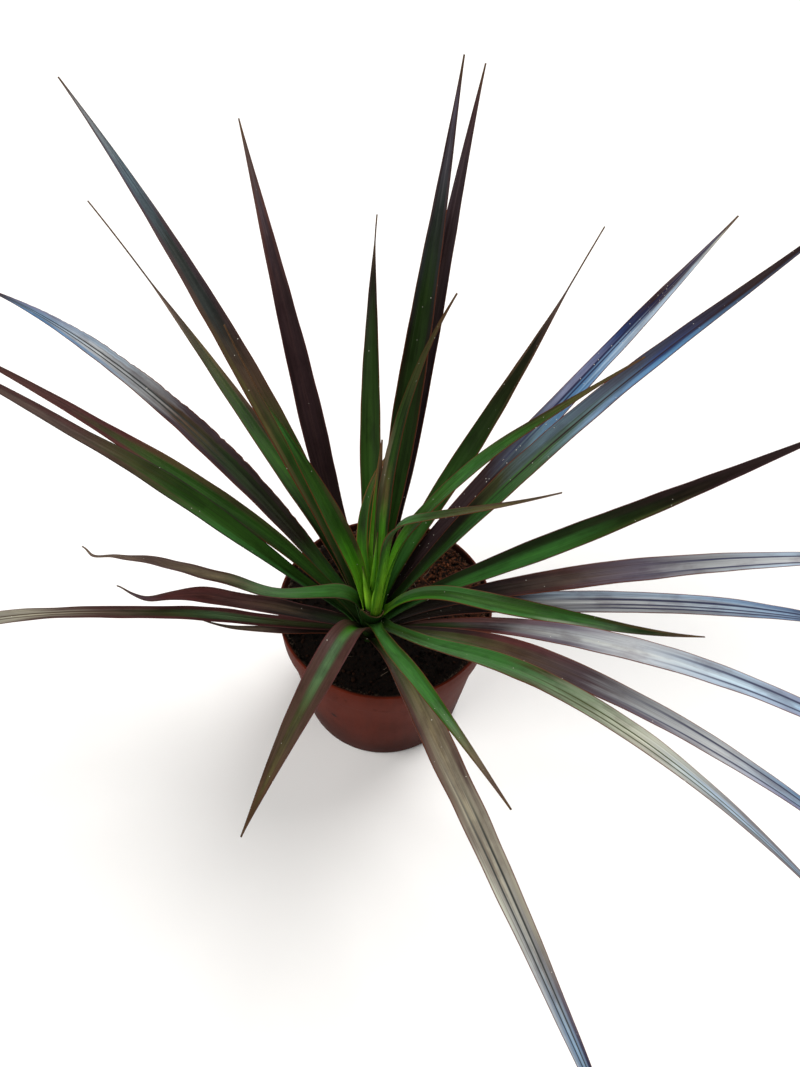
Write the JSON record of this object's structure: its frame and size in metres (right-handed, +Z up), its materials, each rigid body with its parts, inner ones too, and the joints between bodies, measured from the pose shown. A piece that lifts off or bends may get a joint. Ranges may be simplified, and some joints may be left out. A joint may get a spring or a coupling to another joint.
{
  "type": "potted bicolor madagascar dragon tree",
  "caption": "Young dragon tree with long narrow arching leaves, green with maroon edges, growing from a short stem in a round soil-filled nursery pot.",
  "frame": {"origin": "centre of the pot's flat underside", "axes": "+Z up; +X to the right when the plant is seen from its front, which faces -Y"},
  "size_m": [0.5855, 0.5003, 0.3296],
  "materials": {
    "pot": "smooth terracotta-red plastic, satin",
    "soil": "dark loose peat potting mix, matt and damp",
    "stem": "pinkish-brown bark ringed by leaf scars",
    "leaf": "smooth grown leaf, green middle and maroon sides under a blue-silver gloss",
    "young_leaf": "smooth young leaf, bright green with a thin maroon edge, satin"
  },
  "bodies": {
    "root": {"pot": "pot", "soil": "soil", "stem": "stem", "heart": "young_leaf", "leaf_01": "leaf", "leaf_02": "leaf", "leaf_03": "leaf", "leaf_04": "leaf", "leaf_05": "leaf", "leaf_06": "leaf", "leaf_07": "leaf", "leaf_08": "leaf", "leaf_09": "leaf", "leaf_10": "leaf", "leaf_11": "leaf", "leaf_12": "leaf", "leaf_13": "leaf", "leaf_14": "leaf", "leaf_15": "leaf", "leaf_16": "leaf", "leaf_17": "leaf", "leaf_18": "leaf", "leaf_19": "leaf", "leaf_20": "leaf", "leaf_21": "leaf", "leaf_22": "young_leaf", "leaf_23": "leaf", "leaf_24": "young_leaf", "leaf_25": "leaf", "leaf_26": "leaf", "leaf_27": "young_leaf", "leaf_28": "young_leaf", "leaf_29": "young_leaf", "leaf_30": "young_leaf", "leaf_31": "young_leaf", "leaf_32": "young_leaf"}
  },
  "joints": []
}
